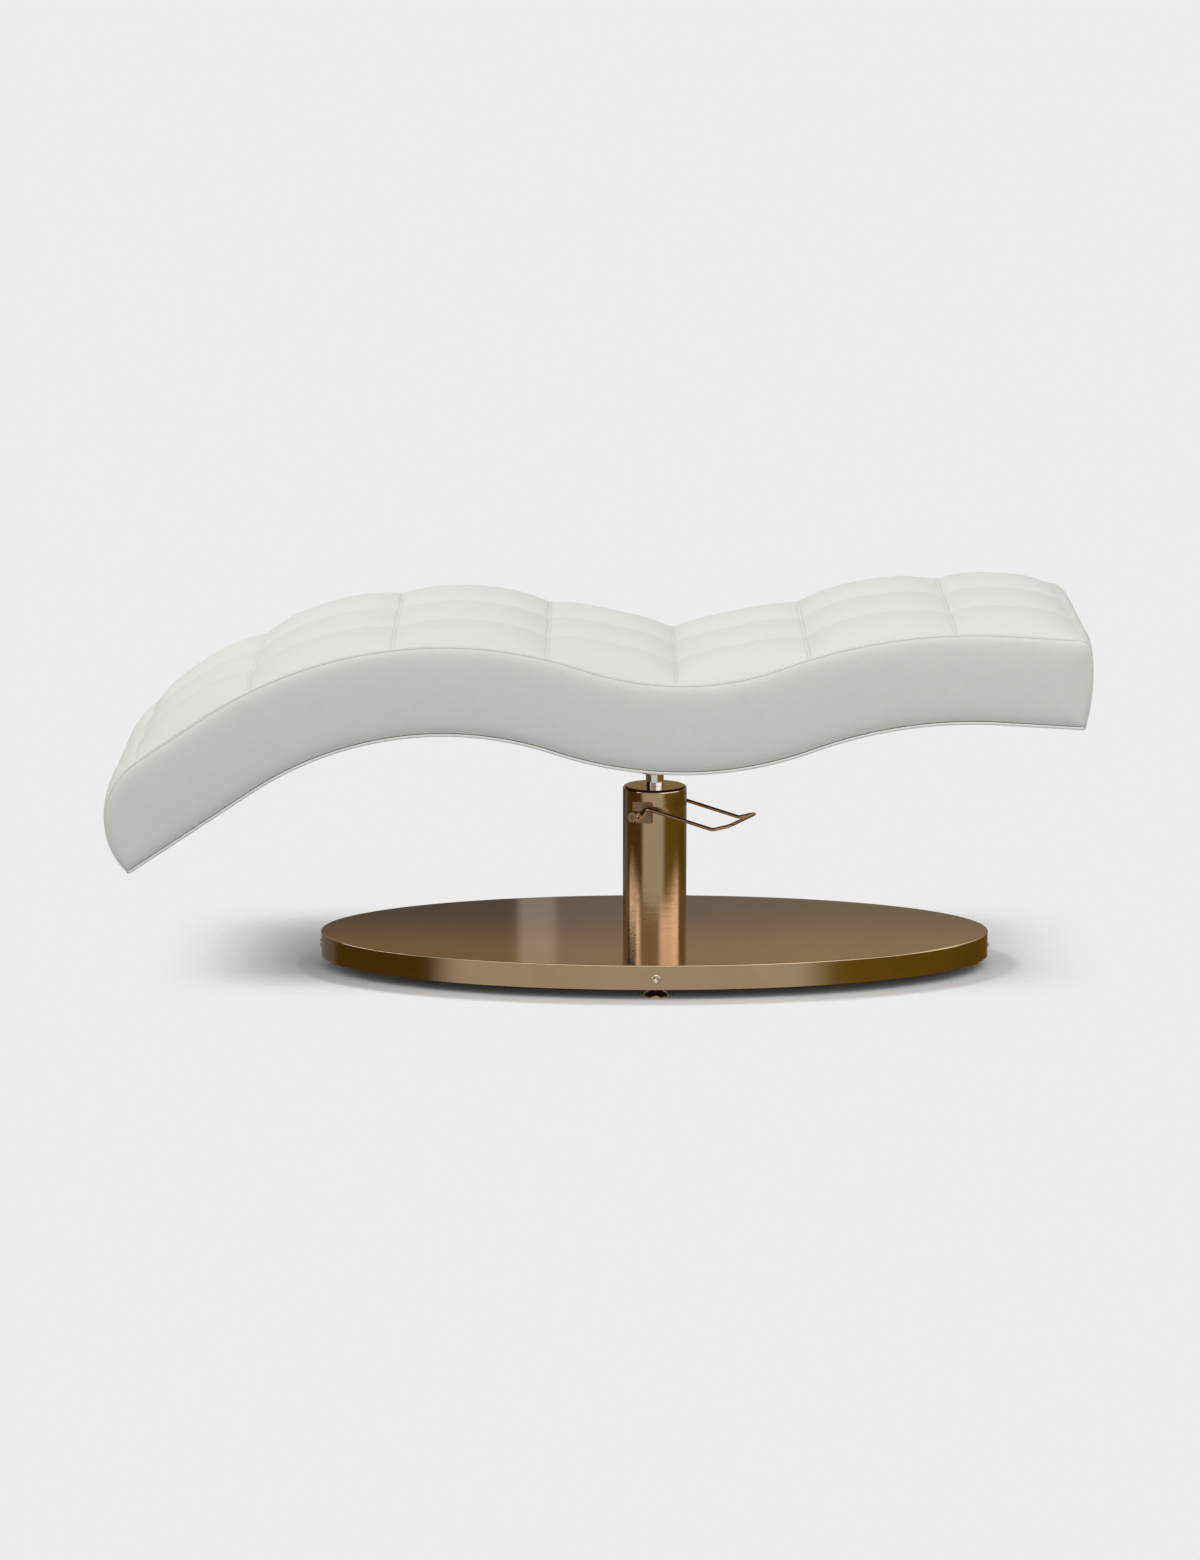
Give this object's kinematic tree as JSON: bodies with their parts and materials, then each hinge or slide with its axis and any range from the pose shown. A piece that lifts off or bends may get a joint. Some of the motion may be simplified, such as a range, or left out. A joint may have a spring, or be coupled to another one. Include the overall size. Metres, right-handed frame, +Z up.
{
  "type": "eyelash extension bed",
  "caption": "Wave-shaped padded treatment bed with quilted top on a chrome hydraulic column and an oval base with levelling feet and a foot pedal.",
  "frame": {"origin": "on the floor, under the middle of the whole bed's length and width", "axes": "+Z up, +X along the bed towards the head end, -Y towards the side with the pedal's hinge in front"},
  "size_m": [1.8767, 0.7, 0.7348],
  "materials": {
    "bronze": "brushed and tinted bronze, clear coated",
    "black_plate": "black powder coat",
    "bright_chrome": "polished",
    "zinc_steel": "zinc plated",
    "grey_iron": "machined",
    "bearing_brass": "machined",
    "seal_rubber": "matt",
    "timber": "sawn softwood and plywood",
    "foam": "open foam",
    "white_vinyl": "fine grained white vinyl over a padded layer",
    "side_vinyl": "fine grained white vinyl over padding",
    "white_piping": "white vinyl over a cord",
    "dust_cover": "dark woven cloth"
  },
  "bodies": {
    "base": {"base_cover": "bronze", "column_shroud": "bronze", "bearing_pads": "bronze", "rim_screws": "bronze", "base_plate": "black_plate", "cover_frame": "black_plate", "rim_blocks": "black_plate", "foot_bosses": "black_plate", "column_flange": "black_plate", "pump_foot": "black_plate", "reservoir_tube": "black_plate", "reservoir_lid": "black_plate", "foot_locknuts": "zinc_steel", "flange_bolts": "zinc_steel", "pump_cylinder": "zinc_steel", "pump_barrel": "zinc_steel", "return_spring": "zinc_steel", "shaft_bushes": "bearing_brass", "cylinder_gland": "bearing_brass", "rod_wiper": "seal_rubber"},
    "piston": {"piston_head": "grey_iron", "piston_rings": "seal_rubber", "piston_nut": "zinc_steel", "piston_rod": "bright_chrome", "thrust_washer": "bearing_brass", "retaining_washer": "zinc_steel", "retaining_screw": "zinc_steel"},
    "bed": {"socket_hub": "black_plate", "mounting_plate": "black_plate", "mount_bolts": "zinc_steel", "deck_panel": "timber", "near_outer_rib": "timber", "near_inner_rib": "timber", "far_inner_rib": "timber", "far_outer_rib": "timber", "foot_end_rail": "timber", "shin_rail": "timber", "knee_rail": "timber", "thigh_rail": "timber", "back_rail": "timber", "shoulder_rail": "timber", "head_end_rail": "timber", "mount_block": "timber", "foam_core": "foam", "near_side_band": "side_vinyl", "far_side_band": "side_vinyl", "underside_cover": "dust_cover", "quilted_top": "white_vinyl", "bottom_welt": "white_piping"},
    "pedal": {"stub_shafts": "zinc_steel", "shaft_collars": "bronze", "collar_screws": "bronze", "rocker_arm": "zinc_steel", "pedal_loop": "bronze"},
    "plunger": {"pump_plunger": "zinc_steel"},
    "front_foot_screw": {"front_foot": "bronze"},
    "back_foot_screw": {"back_foot": "bronze"},
    "left_foot_screw": {"left_foot": "bronze"},
    "right_foot_screw": {"right_foot": "bronze"}
  },
  "joints": [
    {"name": "lift", "type": "slide", "parent": "base", "child": "piston", "axis": [0, 0, 1], "range_m": [0, 0.16]},
    {"name": "bed_turn", "type": "hinge", "parent": "piston", "child": "bed", "pos_m": [0.11467, 0, 0.43], "axis": [0, 0, 1], "continuous": true},
    {"name": "pedal_tilt", "type": "hinge", "parent": "base", "child": "pedal", "pos_m": [0.11467, 0, 0.31], "axis": [0.3907, 0.9205, 0], "range_deg": [0, 25], "stiffness_Nm_per_rad": 12, "springref_deg": -14.9},
    {"name": "plunger_stroke", "type": "slide", "parent": "base", "child": "plunger", "axis": [0, 0, -1], "range_m": [0, 0.0106], "deforming": ["return_spring"]},
    {"name": "front_levelling", "type": "hinge", "parent": "base", "child": "front_foot_screw", "pos_m": [0.11467, -0.285, 0.03], "axis": [0, 0, 1], "continuous": true},
    {"name": "back_levelling", "type": "hinge", "parent": "base", "child": "back_foot_screw", "pos_m": [0.11467, 0.285, 0.03], "axis": [0, 0, 1], "continuous": true},
    {"name": "left_levelling", "type": "hinge", "parent": "base", "child": "left_foot_screw", "pos_m": [-0.49533, 0, 0.03], "axis": [0, 0, 1], "continuous": true},
    {"name": "right_levelling", "type": "hinge", "parent": "base", "child": "right_foot_screw", "pos_m": [0.72467, 0, 0.03], "axis": [0, 0, 1], "continuous": true}
  ],
  "couplings": [
    {"joint": "plunger_stroke", "follows": "pedal_tilt", "m_per_rad": 0.024}
  ]
}
